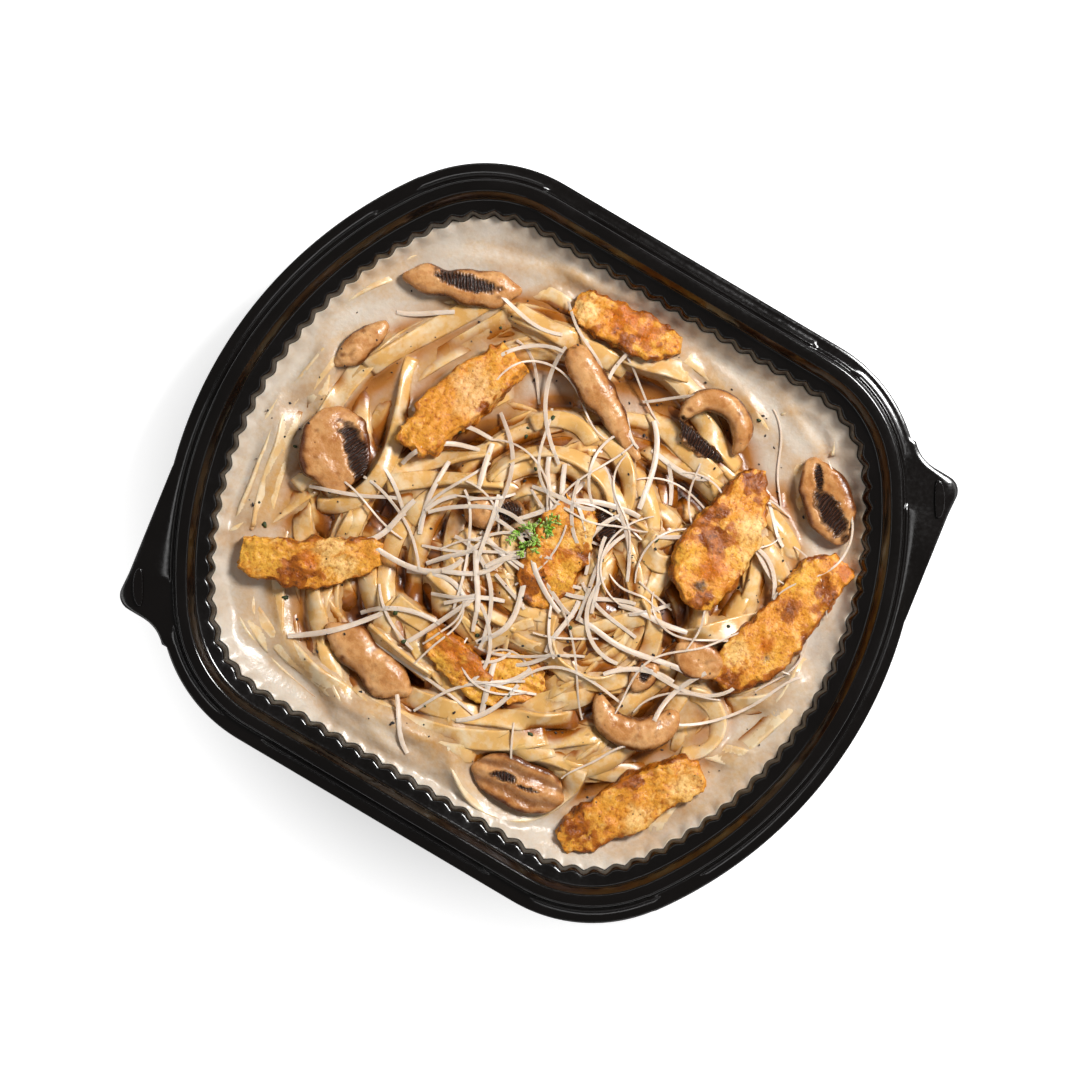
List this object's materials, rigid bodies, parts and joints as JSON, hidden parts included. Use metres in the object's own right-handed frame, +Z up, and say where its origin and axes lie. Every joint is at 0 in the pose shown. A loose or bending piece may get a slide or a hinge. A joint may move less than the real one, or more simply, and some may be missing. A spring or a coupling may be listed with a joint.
{
  "type": "fettuccine alfredo in a takeaway tray",
  "caption": "Fettuccine in cream sauce with grilled chicken strips, mushrooms and shaved hard cheese, in a black takeaway tray with a fluted wall and two corner tabs",
  "frame": {"origin": "on the surface the tray stands on, under the middle of the tray", "axes": "+X along the tray's length, +Y across it, +Z up out of the tray"},
  "size_m": [0.2344, 0.2034, 0.042],
  "materials": {
    "tray_plastic": "smooth black polypropylene",
    "sauce": "wet cream sauce",
    "pasta": "boiled pasta coated in cream",
    "chicken": "grilled, browned crust",
    "mushroom": "fried, moist"
  },
  "bodies": {
    "root": {"tray": "tray_plastic", "cream_sauce": "sauce", "fettuccine": "pasta", "chicken_plate": "chicken", "chicken_strip": "chicken", "chicken_top": "chicken", "chicken_upper_left": "chicken", "chicken_left": "chicken", "chicken_centre": "chicken", "chicken_right_centre": "chicken", "chicken_right": "chicken", "chicken_bottom": "chicken", "mushroom_dark_slice": "mushroom", "mushroom_crumb": "mushroom", "mushroom_chunk": "mushroom", "mushroom_top": "mushroom", "mushroom_small": "mushroom", "mushroom_left": "mushroom", "mushroom_stem": "mushroom", "mushroom_cap": "mushroom", "mushroom_right": "mushroom", "mushroom_centre": "mushroom", "mushroom_lower_left": "mushroom", "mushroom_crescent": "mushroom", "mushroom_bottom": "mushroom"}
  },
  "joints": []
}
